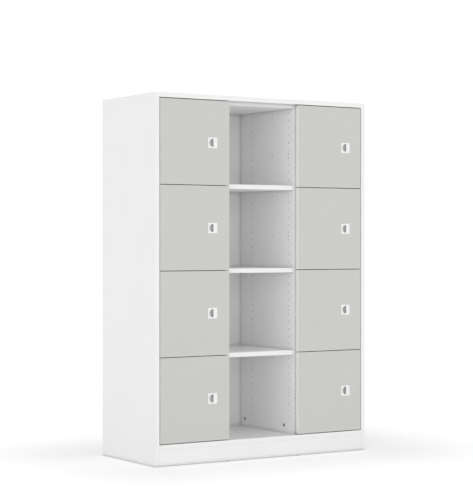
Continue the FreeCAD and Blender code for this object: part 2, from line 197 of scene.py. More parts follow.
def place(outline: np.ndarray, y: float, centre: Vector) -> np.ndarray:
    """An outline in x and z as points in space.

    Args:
        outline: array (points, 2) of x and z about the centre.
        y: how far behind the centre the outline lies.
        centre: the outline's middle.

    Returns:
        Array (points, 3).
    """
    points = np.empty((len(outline), 3))
    points[:, 0] = centre.x + outline[:, 0]
    points[:, 1] = centre.y + y
    points[:, 2] = centre.z + outline[:, 1]
    return points


def rounded_block(low: Vector, high: Vector, corner: float, edge: float,
                  steps: int = 4) -> tuple[np.ndarray, list]:
    """A block whose four long edges and whose front and rear rims are rounded.

    Each loop is a rounded rectangle. Over the rims it shrinks by edge * (1 - sin a) while it
    moves along y by edge * (1 - cos a), for a from 0 to a right angle.

    Args:
        low, high: opposite corners.
        corner: radius of the edges that run along y.
        edge: radius of the rims.
        steps: edges in each corner's arc, and loops over each rim.

    Returns:
        The vertices and the faces.
    """
    half = (high - low) / 2
    centre = Vector(((low.x + high.x) / 2, 0.0, (low.z + high.z) / 2))
    turns = np.linspace(0, math.pi / 2, steps + 1)
    loops = []
    for turn in turns:
        shrink = edge * (1 - math.sin(turn))
        loops.append((shrink, low.y + edge * (1 - math.cos(turn))))
    loops += [(shrink, low.y + high.y - y) for shrink, y in reversed(loops)]
    stack = [place(arc_outline(half.x - shrink, half.z - shrink, max(corner - shrink, edge / 4),
                               steps), y, centre) for shrink, y in loops]
    return loft(np.array(stack))


def ring_band(low: Vector, high: Vector, inward: float, outward: float, proud: float,
              rounding: float) -> tuple[np.ndarray, list]:
    """A thin band round the four edges of an upright panel.

    The section is a rounded rectangle from inward to outward of the panel's edge and from just
    in front of it to just behind. It is carried round the four corners, where it is mitred.

    Args:
        low, high: the panel's box.
        inward, outward: how far the band reaches in and out of the panel's edge.
        proud: how far it stands in front of and behind the panel.
        rounding: radius of the section's corners.

    Returns:
        The vertices and the faces.
    """
    depth = high.y - low.y + 2 * proud
    section = arc_outline((inward + outward) / 2, depth / 2, rounding)
    reach = section[:, 0] + (outward - inward) / 2
    y = section[:, 1] + (low.y + high.y) / 2
    columns = []
    for x, sign_x, z, sign_z in ((low.x, -1, low.z, -1), (high.x, 1, low.z, -1),
                                 (high.x, 1, high.z, 1), (low.x, -1, high.z, 1)):
        columns.append(np.stack([x + sign_x * reach, y, z + sign_z * reach], axis=-1))
    vertices = np.concatenate(columns)
    return vertices, grid_faces(4, len(section), closed_u=True).tolist()


def level_band(low: Vector, high: Vector, inward: float, joint: float,
               rounding: float) -> tuple[np.ndarray, list]:
    """A thin band round the four edges of a level panel.

    The section is a rounded rectangle in height and in the distance from the panel's edge. It is
    carried round the four corners, where it is mitred.

    Args:
        low, high: the panel's box.
        inward: how far the band reaches into the panel.
        joint: what its top and bottom leave free of the panel's thickness.
        rounding: radius of the section's corners, and how far it stands out of the panel.

    Returns:
        The vertices and the faces.
    """
    section = arc_outline((inward + rounding) / 2, (high.z - low.z) / 2 - joint, rounding)
    reach = section[:, 0] + (rounding - inward) / 2
    z = section[:, 1] + (low.z + high.z) / 2
    columns = []
    for x, sign_x, y, sign_y in ((low.x, -1, low.y, -1), (low.x, -1, high.y, 1),
                                 (high.x, 1, high.y, 1), (high.x, 1, low.y, -1)):
        columns.append(np.stack([x + sign_x * reach, y + sign_y * reach, z], axis=-1))
    return np.concatenate(columns), grid_faces(4, len(section), closed_u=True).tolist()


@dataclass(frozen=True)
class ScrewHead:
    """A domed screw head with a cross recess, which looks rearwards."""

    radius: float
    rise: float
    rim_height: float = 0.35
    cross_half: float = 0.16
    cross_reach: float = 0.62
    cross_height: float = 0.1
    centre_radius: float = 0.08
    spokes: int = 32
    rings: int = 9

    def shape(self, centre: Vector) -> tuple[np.ndarray, list]:
        """The head's skin.

        The height is rise * (rim_height + (1 - rim_height) * (1 - (r / radius) ** 2)), and the
        cross sinks the points that lie near either of its two arms.

        Args:
            centre: middle of the head's underside.

        Returns:
            The vertices and the faces.
        """
        angle = np.linspace(0, 2 * math.pi, self.spokes, endpoint=False)
        inner = np.linspace(self.radius, self.radius * self.centre_radius, self.rings)
        ring_radius, ring_angle = np.meshgrid(np.concatenate([[self.radius], inner]), angle,
                                              indexing="ij")
        across = ring_radius * np.cos(ring_angle)
        up = ring_radius * np.sin(ring_angle)
        dome = 1 - (ring_radius / self.radius) ** 2
        height = self.rise * (self.rim_height + (1 - self.rim_height) * dome)
        arm = np.minimum(np.abs(across), np.abs(up)) < self.radius * self.cross_half
        cross = arm & (ring_radius < self.radius * self.cross_reach)
        height = np.where(cross, self.rise * self.cross_height, height)
        height[0] = 0.0
        out = np.array(REARWARD)
        side = np.array([0.0, 0.0, 1.0])
        points = (np.array(centre) + across[..., None] * np.cross(side, out)
                  + up[..., None] * side + height[..., None] * out)
        return loft(points)


# ---------------------------------------------------------------- finishes

class Nodes:
    """A short way to write a material's node tree."""

    NOISE_SPAN = (0.3, 0.7)

    def __init__(self, name: str) -> None:
        """Start an empty material with a Principled shader.

        Args:
            name: the material's name.
        """
        self.material = bpy.data.materials.new(name)
        self.material.use_nodes = True
        self.tree = self.material.node_tree
        self.shader = self.tree.nodes["Principled BSDF"]
        self.place = self.add("ShaderNodeTexCoord").outputs["Object"]

    def add(self, kind: str, **values) -> bpy.types.Node:
        """Add a node.

        Args:
            kind: the node's type.
            values: inputs where the name starts with a capital letter, else attributes.

        Returns:
            The node.
        """
        node = self.tree.nodes.new(kind)
        for key, value in values.items():
            if key[0].isupper():
                node.inputs[key.replace("_", " ")].default_value = value
            else:
                setattr(node, key, value)
        return node

    def link(self, source: bpy.types.NodeSocket, target: bpy.types.NodeSocket) -> None:
        """Join an output to an input."""
        self.tree.links.new(source, target)

    def noise(self, scale: float, detail: float = 2.0,
              stretch: tuple = (1.0, 1.0, 1.0)) -> bpy.types.NodeSocket:
        """A noise value over the object's own coordinates.

        Args:
            scale: cells in a metre.
            detail: how many finer layers are added.
            stretch: scale of each axis.

        Returns:
            The output that carries the value.
        """
        mapping = self.add("ShaderNodeMapping", Scale=stretch)
        self.link(self.place, mapping.inputs["Vector"])
        noise = self.add("ShaderNodeTexNoise", Scale=scale, Detail=detail)
        self.link(mapping.outputs["Vector"], noise.inputs["Vector"])
        return noise.outputs["Fac"]

    def ranged(self, value: bpy.types.NodeSocket, low: float, high: float) -> bpy.types.NodeSocket:
        """A noise value spread between two numbers.

        Args:
            value: the noise, which seldom leaves its usual span.
            low, high: what the ends of that span become.

        Returns:
            The output that carries the new value.
        """
        least, most = self.NOISE_SPAN
        spread = self.add("ShaderNodeMapRange", From_Min=least, From_Max=most, To_Min=low,
                          To_Max=high)
        self.link(value, spread.inputs["Value"])
        return spread.outputs["Result"]

    def blend(self, value: bpy.types.NodeSocket, first: tuple,
              second: tuple) -> bpy.types.NodeSocket:
        """A colour between two.

        Args:
            value: 0 for the first colour, 1 for the second.
            first, second: the colours.

        Returns:
            The output that carries the colour.
        """
        mix = self.add("ShaderNodeMix", data_type="RGBA")
        mix.inputs[6].default_value = (*first, 1.0)
        mix.inputs[7].default_value = (*second, 1.0)
        self.link(value, mix.inputs[0])
        return mix.outputs[2]

    def bump(self, value: bpy.types.NodeSocket, strength: float, height: float) -> None:
        """Raise the surface in the shader.

        Args:
            value: the relief, from 0 to 1.
            strength: how much of it counts.
            height: the relief's height.
        """
        bump = self.add("ShaderNodeBump", Strength=strength, Distance=height)
        self.link(value, bump.inputs["Height"])
        self.link(bump.outputs["Normal"], self.shader.inputs["Normal"])


def darker(colour: tuple, share: float) -> tuple:
    """A colour with every channel multiplied by a share."""
    return tuple(channel * share for channel in colour)


@dataclass(frozen=True)
class BoardFinish:
    """Melamine-faced board: a fine pearl grain, slight cloudiness and, on doors, white edges;
    elsewhere painted shade in inner corners.
    """

    name: str
    face: tuple
    edge: tuple | None = None
    roughness: float = 0.42
    roughness_spread: float = 0.05
    specular: float = 0.4
    cloud_scale: float = 6.0
    cloud_share: float = 0.988
    sheen_scale: float = 90.0
    grain_scale: float = 1400.0
    grain_strength: float = 0.12
    grain_height: float = 0.05 * MM
    chip_scale: float = 1100.0
    chips: tuple = ((0.16, 0.125, 0.085), (0.30, 0.245, 0.175))
    skin: float = 0.3 * MM
    corner_reach: float = 20 * MM
    corner_shade: float = 0.72
    corner_span: tuple = (0.3, 0.9)
    corner_samples: int = 8

    def inside(self, nodes: Nodes, box: tuple) -> bpy.types.NodeSocket:
        """A mask that is 1 where a point lies deeper in the board than its skin, else 0.

        The depth is the least, over the three axes, of half the box's side less the distance
        from its middle.

        Args:
            nodes: the material's nodes.
            box: the board's lowest and highest corners.

        Returns:
            The output that carries the mask.
        """
        low, high = box
        middle = (low + high) / 2
        half = (high - low) / 2
        away = nodes.add("ShaderNodeVectorMath", operation="SUBTRACT")
        away.inputs[1].default_value = middle
        nodes.link(nodes.place, away.inputs[0])
        size = nodes.add("ShaderNodeVectorMath", operation="ABSOLUTE")
        nodes.link(away.outputs["Vector"], size.inputs[0])
        depth = nodes.add("ShaderNodeVectorMath", operation="SUBTRACT")
        depth.inputs[0].default_value = half
        nodes.link(size.outputs["Vector"], depth.inputs[1])
        parts = nodes.add("ShaderNodeSeparateXYZ")
        nodes.link(depth.outputs["Vector"], parts.inputs["Vector"])
        least = parts.outputs["X"]
        for axis in "YZ":
            smaller = nodes.add("ShaderNodeMath", operation="MINIMUM")
            nodes.link(least, smaller.inputs[0])
            nodes.link(parts.outputs[axis], smaller.inputs[1])
            least = smaller.outputs[0]
        deep = nodes.add("ShaderNodeMath", operation="GREATER_THAN")
        deep.inputs[1].default_value = self.skin
        nodes.link(least, deep.inputs[0])
        return deep.outputs[0]

    def build(self, box: tuple | None = None) -> bpy.types.Material:
        """Make the material.

        Args:
            box: the board's corners, to show raw chips in its holes.

        Returns:
            The material.
        """
        nodes = Nodes(self.name)
        cloud = nodes.ranged(nodes.noise(self.cloud_scale, detail=3.0), 0.0, 1.0)
        colour = nodes.blend(cloud, darker(self.face, self.cloud_share), self.face)
        colour = self.edged(nodes, colour) if self.edge else self.shaded(nodes, colour)
        if box:
            grain = nodes.noise(self.chip_scale, detail=3.0)
            chips = nodes.blend(nodes.ranged(grain, 0.0, 1.0), *self.chips)
            mix = nodes.add("ShaderNodeMix", data_type="RGBA")
            nodes.link(self.inside(nodes, box), mix.inputs[0])
            nodes.link(colour, mix.inputs[6])
            nodes.link(chips, mix.inputs[7])
            colour = mix.outputs[2]
        nodes.link(colour, nodes.shader.inputs["Base Color"])
        rough = nodes.ranged(nodes.noise(self.sheen_scale), self.roughness - self.roughness_spread,
                             self.roughness + self.roughness_spread)
        nodes.link(rough, nodes.shader.inputs["Roughness"])
        nodes.shader.inputs["Specular IOR Level"].default_value = self.specular
        nodes.bump(nodes.noise(self.grain_scale, detail=3.0), self.grain_strength,
                   self.grain_height)
        return nodes.material

    def edged(self, nodes: Nodes, colour: bpy.types.NodeSocket) -> bpy.types.NodeSocket:
        """The colour on the board's front and rear, and the edge's colour round it.

        Args:
            nodes: the material's nodes.
            colour: the face's colour.

        Returns:
            The output that carries the colour.
        """
        parts = nodes.add("ShaderNodeSeparateXYZ")
        nodes.link(nodes.add("ShaderNodeTexCoord").outputs["Normal"], parts.inputs["Vector"])
        size = nodes.add("ShaderNodeMath", operation="ABSOLUTE")
        nodes.link(parts.outputs["Y"], size.inputs[0])
        flat = nodes.add("ShaderNodeMath", operation="GREATER_THAN")
        flat.inputs[1].default_value = 0.5
        nodes.link(size.outputs[0], flat.inputs[0])
        mix = nodes.add("ShaderNodeMix", data_type="RGBA")
        mix.inputs[6].default_value = (*self.edge, 1.0)
        nodes.link(flat.outputs[0], mix.inputs[0])
        nodes.link(colour, mix.inputs[7])
        return mix.outputs[2]

    def shaded(self, nodes: Nodes, colour: bpy.types.NodeSocket) -> bpy.types.NodeSocket:
        """The colour with painted shade near inner corners, from an ambient occlusion node.

        Args:
            nodes: the material's nodes.
            colour: the face's colour.

        Returns:
            The output that carries the colour.
        """
        # Painted shade: occlusion within corner_reach darkens the colour down to corner_shade.
        corner = nodes.add("ShaderNodeAmbientOcclusion", samples=self.corner_samples,
                           Distance=self.corner_reach)
        spread = nodes.add("ShaderNodeMapRange", From_Min=self.corner_span[0],
                           From_Max=self.corner_span[1], To_Min=self.corner_shade, To_Max=1.0)
        nodes.link(corner.outputs["AO"], spread.inputs["Value"])
        shade = nodes.add("ShaderNodeVectorMath", operation="SCALE")
        nodes.link(colour, shade.inputs[0])
        nodes.link(spread.outputs["Result"], shade.inputs["Scale"])
        return shade.outputs["Vector"]


@dataclass(frozen=True)
class MetalFinish:
    """Plated or cast metal with fine drawn lines along one direction."""

    name: str
    colour: tuple
    roughness: float
    stretch: tuple = (1.0, 1.0, 0.05)
    line_scale: float = 900.0
    line_strength: float = 0.15
    line_height: float = 0.03 * MM
    patch_scale: float = 60.0
    patch_share: float = 0.9
    roughness_spread: tuple = (0.06, 0.1)

    def build(self) -> bpy.types.Material:
        """Make the material.

        Returns:
            The material.
        """
        nodes = Nodes(self.name)
        lines = nodes.noise(self.line_scale, detail=3.0, stretch=self.stretch)
        patches = nodes.ranged(nodes.noise(self.patch_scale), 0.0, 1.0)
        nodes.link(nodes.blend(patches, darker(self.colour, self.patch_share), self.colour),
                   nodes.shader.inputs["Base Color"])
        nodes.shader.inputs["Metallic"].default_value = 1.0
        smoother, rougher = self.roughness_spread
        nodes.link(nodes.ranged(lines, self.roughness - smoother, self.roughness + rougher),
                   nodes.shader.inputs["Roughness"])
        nodes.bump(lines, self.line_strength, self.line_height)
        return nodes.material


@dataclass(frozen=True)
class PlasticFinish:
    """Moulded plastic with a fine spark-eroded texture."""

    name: str
    colour: tuple
    roughness: float
    grain: float = 0.1
    grain_scale: float = 2500.0
    grain_height: float = 0.04 * MM
    sheen_scale: float = 500.0
    patch_scale: float = 40.0
    patch_share: float = 0.98
    roughness_spread: tuple = (0.04, 0.06)

    def build(self) -> bpy.types.Material:
        """Make the material.

        Returns:
            The material.
        """
        nodes = Nodes(self.name)
        patches = nodes.ranged(nodes.noise(self.patch_scale), 0.0, 1.0)
        nodes.link(nodes.blend(patches, darker(self.colour, self.patch_share), self.colour),
                   nodes.shader.inputs["Base Color"])
        smoother, rougher = self.roughness_spread
        nodes.link(nodes.ranged(nodes.noise(self.sheen_scale), self.roughness - smoother,
                                self.roughness + rougher), nodes.shader.inputs["Roughness"])
        nodes.bump(nodes.noise(self.grain_scale), self.grain, self.grain_height)
        return nodes.material


@dataclass(frozen=True)
class BeechFinish:
    """Turned beech with its grain along the dowels and short dark flecks."""

    name: str = "beech"
    light: tuple = (0.62, 0.42, 0.24)
    dark: tuple = (0.42, 0.26, 0.13)
    grain_scale: float = 700.0
    grain_stretch: tuple = (1.0, 1.0, 0.08)
    grain_strength: float = 0.2
    grain_height: float = 0.1 * MM
    roughness: float = 0.6

    def build(self) -> bpy.types.Material:
        """Make the material.

        Returns:
            The material.
        """
        nodes = Nodes(self.name)
        grain = nodes.noise(self.grain_scale, detail=4.0, stretch=self.grain_stretch)
        nodes.link(nodes.blend(nodes.ranged(grain, 0.0, 1.0), self.dark, self.light),
                   nodes.shader.inputs["Base Color"])
        nodes.shader.inputs["Roughness"].default_value = self.roughness
        nodes.bump(grain, self.grain_strength, self.grain_height)
        return nodes.material


WHITE = (0.87, 0.87, 0.87)
# Painted shade: white edging darkened for board edges set back behind the doors.
SHADE_PAINTED_WHITE = (0.72, 0.72, 0.72)
# Painted shade: the near-black of the strips that stand for the shade seen through the door gaps.
GAP_SHADE_DARK = (0.10, 0.10, 0.105)
FINISHES = {
    "white_board": BoardFinish("white_board", WHITE),
    "grey_board": BoardFinish("grey_board", (0.585, 0.587, 0.560), WHITE),
    "gap_shade_edging": BoardFinish("gap_shade_edging", GAP_SHADE_DARK, roughness=0.36),
    "painted_shade_edging": BoardFinish("painted_shade_edging", SHADE_PAINTED_WHITE, roughness=0.36),
    "white_edging": BoardFinish("white_edging", WHITE, roughness=0.36),
    "white_plastic": PlasticFinish("white_plastic", (0.87, 0.87, 0.87), 0.3),
    "hollow_plastic": PlasticFinish("hollow_plastic", (0.69, 0.69, 0.69), 0.45, 0.2),
    "grey_plastic": PlasticFinish("grey_plastic", (0.42, 0.43, 0.43), 0.4, 0.2),
    "black_plastic": PlasticFinish("black_plastic", (0.03, 0.03, 0.03), 0.5, 0.25),
    "plated_steel": MetalFinish("plated_steel", (0.66, 0.66, 0.65), 0.32),
    "nickel_steel": MetalFinish("nickel_steel", (0.74, 0.72, 0.68), 0.24),
    "zinc_alloy": MetalFinish("zinc_alloy", (0.30, 0.30, 0.31), 0.42, (1.0, 1.0, 1.0)),
    "beech": BeechFinish(),
}


class Paintbox:
    """Makes each finish once and hands out its material."""

    def __init__(self) -> None:
        """Start with nothing made."""
        self.made: dict = {}

    def get(self, name: str) -> bpy.types.Material:
        """The material of a finish.

        Args:
            name: the finish's key.

        Returns:
            The material, made at the first call.
        """
        if name not in self.made:
            self.made[name] = FINISHES[name].build()
        return self.made[name]


PAINT = Paintbox()


def add_piece(name: str, shape: tuple, body: str, slot: str, finish: str | None = None,
              crease: float = 35.0) -> bpy.types.Object:
    """Make a piece from vertices and faces, dress it and let it ride on a body.

    Args:
        name: the piece's name.
        shape: its vertices and faces.
        body: the CAD body that it moves with.
        slot: the record's material slot.
        finish: the finish, if it isn't the slot's own.
        crease: edges sharper than this many degrees stay sharp.

    Returns:
        The new object.
    """
    vertices, faces = shape
    mesh = bpy.data.meshes.new(name)
    mesh.from_pydata(vertices.tolist(), [], faces)
    mesh.validate()
    mesh.shade_smooth()
    mesh.set_sharp_from_angle(angle=math.radians(crease))
    mesh.materials.append(PAINT.get(finish or slot))
    piece = bpy.data.objects.new(name, mesh)
    bpy.context.scene.collection.objects.link(piece)
    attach(piece, body)
    LOG.info("%s: %d faces on %s", name, len(faces), body)
    return piece


# ---------------------------------------------------------------- sub-assemblies

@dataclass
class Carcass:
    """The board cabinet: finishes of its CAD nodes, and the edging on the boards' fronts."""

    proud: float = 0.45 * MM
    joint: float = 0.35 * MM
    strip_depth: float = 0.6 * MM
    strip_rounding: float = 0.4 * MM
    strip_steps: int = 3
    span_gap: float = 0.4 * MM
    gap_shade_front: float = 2.0 * MM
    gap_shade_thickness: float = 0.3 * MM
    shade_painted_boards: tuple = ("sub_top_panel", "left_divider", "right_divider")

    def dress(self) -> None:
        """Give every CAD node the finish of its slot in the record.

        A node that is one board gets a material of its own, with raw board in its holes.
        """
        slots = {entry["node"]: entry["material_slot"] for entry in frame["record"]["subparts"]}
        for name, node in frame["nodes"].items():
            finish = FINISHES[slots[name]]
            single_board = isinstance(finish, BoardFinish) and not name.endswith("_floors")
            node.data.materials.clear()
            node.data.materials.append(finish.build(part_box(name)) if single_board
                                       else PAINT.get(slots[name]))

    def strip(self, node: str) -> tuple[np.ndarray, list]:
        """Edging on a board's front edge, eased along both arrises.

        Args:
            node: the board's CAD node.

        Returns:
            The vertices and the faces.
        """
        low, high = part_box(node)
        joint = self.joint
        return rounded_block(Vector((low.x + joint, low.y - self.proud, low.z + joint)),
                             Vector((high.x - joint, low.y + self.strip_depth, high.z - joint)),
                             self.strip_rounding, self.strip_rounding, self.strip_steps)

    def gap_shade_span(self, side: Side, shelf: int) -> tuple[np.ndarray, list]:
        """A dark strip across one locker bay, painted shade for the gap between the doors in front
        of it.

        Args:
            side: which bay.
            shelf: the shelf at the same height, or 0 for the sub-top.

        Returns:
            The vertices and the faces.
        """
        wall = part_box("left_side_panel" if side is Side.LEFT else "right_divider")[1]
        next_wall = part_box("left_divider" if side is Side.LEFT else "right_side_panel")[0]
        low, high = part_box(f"open_shelf_{shelf}" if shelf else "sub_top_panel")
        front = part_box("sub_top_panel" if not shelf else "locker_floors")[0].y
        gap = self.span_gap
        start = Vector((wall.x + gap, front - self.proud, low.z + self.joint))
        end = Vector((next_wall.x - gap, front + self.strip_depth, high.z - self.joint))
        return rounded_block(start, end, self.strip_rounding, self.strip_rounding,
                             self.strip_steps)

    def gap_shade(self, side: Side) -> tuple[np.ndarray, list]:
        """A thin dark strip under the top panel, over the doors of one bay: painted shade for the
        gap over the doors.

        Args:
            side: which bay.

        Returns:
            The vertices and the faces.
        """
        door_low, door_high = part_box(f"{side.value}_door_{ROWS}")
        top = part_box("top_panel")[0].z
        thick = self.gap_shade_thickness
        low = Vector((door_low.x, door_low.y + self.gap_shade_front, top - thick))
        high = Vector((door_high.x, door_high.y, top + thick / 2))
        return rounded_block(low, high, thick / 3, thick / 3, self.strip_steps)

    def edge(self) -> None:
        """Make the front edging of each board that shows its edge.

        The floors of the lockers and the sub-top over them have dark strips behind the doors, and a
        dark strip lies under the top panel over the doors: painted shade for the gaps between and
        over the doors. Boards set back behind the doors get white edging darkened as painted shade.
        """
        for node in ("left_side_panel", "right_side_panel", "bottom_panel", "plinth_board",
                     "sub_top_panel", "left_divider", "right_divider",
                     "open_shelf_1", "open_shelf_2", "open_shelf_3"):
            # Boards set back behind the doors get the darkened white edging, which is painted
            # shade.
            finish = "painted_shade_edging" if node in self.shade_painted_boards else "white_edging"
            add_piece(node + "_edging", self.strip(node), "cabinet", "white_board", finish)
        # Dark strips behind the gaps between the doors, which are painted shade.
        floors = [self.gap_shade_span(side, shelf) for side in Side for shelf in range(1, ROWS)]
        add_piece("locker_floors_gap_shade_edging", joined(floors), "cabinet", "white_board", "gap_shade_edging")
        covers = [self.gap_shade_span(side, 0) for side in Side]
        add_piece("sub_top_gap_shade_edging", joined(covers), "cabinet", "white_board", "gap_shade_edging")
        # Dark strips under the top panel over the doors, which are painted shade.
        gap_shades = [self.gap_shade(side) for side in Side]
        add_piece("top_gap_shade_strips", joined(gap_shades), "cabinet", "white_board", "gap_shade_edging")
        low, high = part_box("top_panel")
        band = level_band(low, high, self.strip_depth, self.joint, self.strip_rounding)
        add_piece("top_panel_edging", band, "cabinet", "white_board", "white_edging")

    def make(self) -> None:
        """Dress the nodes and make the edging."""
        self.dress()
        self.edge()


@dataclass
class Door:
    """What one door carries besides its panel: edging, lock face, lock case and screws."""

    side: Side
    row: int
    band_inward: float = 0.3 * MM
    band_outward: float = 0.12 * MM
    band_proud: float = 0.04 * MM
    band_rounding: float = 0.15 * MM
    case_left: float = 28.0 * MM
    case_right: float = 50.0 * MM
    face_half: float = 22.2 * MM
    face_proud: float = 1.5 * MM
    face_corner: float = 2.5 * MM
    face_rounding: float = 0.8 * MM
    neck_half: float = 19.0 * MM
    neck_end: float = 18.9 * MM
    grip_radius: float = 16.5 * MM
    grip_flat: float = 4.0 * MM
    grip_depth: float = 15.0 * MM
    grip_lip: float = 3.0 * MM
    grip_back: float = 14.0 * MM
    lip_rounding: float = 0.4 * MM
    floor_rounding: float = 2.0 * MM
    neck_corner: float = 0.5 * MM
    face_clear: float = 0.02 * MM
    face_inset: float = 0.1 * MM
    hollow_clear: float = 2.0 * MM
    corner_softness: float = 0.5 * MM
    floor_shares: tuple = (0.7, 0.4, 0.12)
    points: int = 144
    rim_steps: int = 6
    face_crease: float = 50.0
    case_corner: float = 3.0 * MM
    case_rounding: float = 1.5 * MM
    case_screw: ScrewHead = ScrewHead(3.4 * MM, 1.2 * MM)
    case_screw_inset: float = 7.0 * MM
    cup_screw: ScrewHead = ScrewHead(3.2 * MM, 1.3 * MM)
    cup_screw_inset: float = 4.6 * MM
    cup_centre: float = 22.5 * MM
    cup_flange: float = 1.2 * MM
    cup_height: float = 52.0 * MM

    def name(self, part: str) -> str:
        """Name of one of this door's pieces or nodes."""
        return f"{self.side.value}_{part}_{self.row}"

    @property
    def body(self) -> str:
        """The CAD body of the door."""
        return f"door_{self.side.value}_{self.row}"

    def edging(self) -> None:
        """White edging round the grey panel."""
        low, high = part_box(self.name("door"))
        band = ring_band(low, high, self.band_inward, self.band_outward, self.band_proud,
                         self.band_rounding)
        add_piece(self.name("door_edging"), band, self.body, "grey_board", "white_edging")

    def grip_outline(self, centre: tuple[float, float], angles: np.ndarray, grow: float,
                     flat: float) -> np.ndarray:
        """The D of the finger grip, along rays from a centre inside it.

        Each ray ends at the nearer of the round side, |p| = radius, and the flat side, x = flat.
        The two reaches are joined by a soft minimum, which rounds the D's two corners.

        Args:
            centre: where the rays start.
            angles: directions of the rays.
            grow: how far the outline is moved outwards.
            flat: the flat side's place.

        Returns:
            Array (angles, 2) of x and z.
        """
        way = np.stack([np.cos(angles), np.sin(angles)], axis=-1)
        start = np.array(centre)
        radius = self.grip_radius + grow
        along = way @ start
        round_reach = -along + np.sqrt(along ** 2 - start @ start + radius ** 2)
        forward = np.maximum(way[:, 0], 1e-3)
        flat_reach = (flat + grow - start[0]) / forward
        softness = self.corner_softness
        nearer = np.minimum(round_reach, flat_reach)
        excess = (np.exp(-(round_reach - nearer) / softness)
                  + np.exp(-(flat_reach - nearer) / softness))
        reach = nearer - softness * np.log(excess)
        return start + reach[:, None] * way

    def lock_face(self, centre: Vector) -> tuple[np.ndarray, list]:
        """Face, finger grip and neck as one closed skin.

        Loops run from the neck's rear end forwards, round the face's rim, over the lip of the
        grip and down its wall to the middle of its floor.

        Args:
            centre: the lock's centre, in the door's front face.

        Returns:
            The vertices and the faces.
        """
        middle = ((self.grip_flat - self.grip_radius) / 2, 0.0)
        angles = np.linspace(0, 2 * math.pi, self.points, endpoint=False)
        turns = np.linspace(0, math.pi / 2, self.rim_steps)

        def square(half: float, corner: float) -> np.ndarray:
            """A square outline about the lock's centre."""
            return rounded_rectangle(half, half, corner, angles, middle)

        front = -self.face_proud
        clear = self.face_clear
        neck = square(self.neck_half, self.neck_corner)
        loops = [(square(self.neck_half - self.lip_rounding, self.neck_corner), self.neck_end),
                 (neck, self.neck_end - self.lip_rounding),
                 (neck, -clear),
                 (square(self.face_half - self.face_inset, self.face_corner), -clear)]
        for turn in turns:
            half = self.face_half - self.face_rounding * (1 - math.cos(turn))
            loops.append((square(half, self.face_corner),
                          front + self.face_rounding * (1 - math.sin(turn))))
        for turn in turns:
            grow = self.lip_rounding * (1 - math.sin(turn))
            loops.append((self.grip_outline(middle, angles, grow, self.grip_flat),
                          front + self.lip_rounding * (1 - math.cos(turn))))
        lip_back = front + self.grip_lip
        loops.append((self.grip_outline(middle, angles, 0.0, self.grip_flat), lip_back))
        loops.append((self.grip_outline(middle, angles, 0.0, self.grip_back), lip_back + clear))
        floor = front + self.grip_depth
        for turn in turns:
            grow = -self.floor_rounding * (1 - math.cos(turn))
            loops.append((self.grip_outline(middle, angles, grow, self.grip_back),
                          floor - self.floor_rounding * (1 - math.sin(turn))))
        inner = self.grip_outline(middle, angles, -self.floor_rounding, self.grip_back)
        for share in self.floor_shares:
            loops.append((np.array(middle) + share * (inner - np.array(middle)), floor))
        stack = np.array([place(outline, y, centre) for outline, y in loops])
        return loft(stack)

    def lock(self) -> None:
        """Lock face and lock case in place of the CAD lock."""
        low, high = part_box(self.name("lock"))
        panel_low, panel_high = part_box(self.name("door"))
        centre = Vector((low.x + self.case_left, panel_low.y, (low.z + high.z) / 2))
        face = add_piece(self.name("lock_face"), self.lock_face(centre), self.body,
                         "white_plastic", crease=self.face_crease)
        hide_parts(self.name("lock"))
        face.data.materials.append(PAINT.get("hollow_plastic"))
        middles = np.empty(3 * len(face.data.polygons))
        face.data.polygons.foreach_get("center", middles)
        away = middles.reshape(-1, 3) - np.array(centre)
        hollow = ((np.hypot(away[:, 0], away[:, 2]) < self.grip_radius + self.face_inset)
                  & (away[:, 1] > self.lip_rounding - self.face_proud)
                  & (away[:, 1] < self.neck_end - self.hollow_clear))
        face.data.polygons.foreach_set("material_index", hollow.astype(np.int32))
        case = rounded_block(Vector((low.x, panel_high.y, low.z)), high, self.case_corner,
                             self.case_rounding)
        add_piece(self.name("lock_case"), case, self.body, "white_plastic", "grey_plastic")
        inset = self.case_screw_inset
        heads = [self.case_screw.shape(Vector((x, high.y, z)))
                 for x in (low.x + inset, high.x - inset) for z in (low.z + inset, high.z - inset)]
        add_piece(self.name("lock_screws"), joined(heads), self.body, "plated_steel")

    def cup_screws(self) -> None:
        """Two screws in each hinge cup's flange."""
        low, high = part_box(self.name("hinge_cups"))
        panel_low, panel_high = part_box(self.name("door"))
        x = panel_low.x + self.cup_centre
        y = panel_high.y + self.cup_flange
        inset, span = self.cup_screw_inset, self.cup_height
        heads = [self.cup_screw.shape(Vector((x, y, z)))
                 for bottom in (low.z, high.z - span)
                 for z in (bottom + inset, bottom + span - inset)]
        add_piece(self.name("cup_screws"), joined(heads), self.body, "plated_steel")

    def make(self) -> None:
        """Make everything that the door carries."""
        self.edging()
        self.lock()
        self.cup_screws()


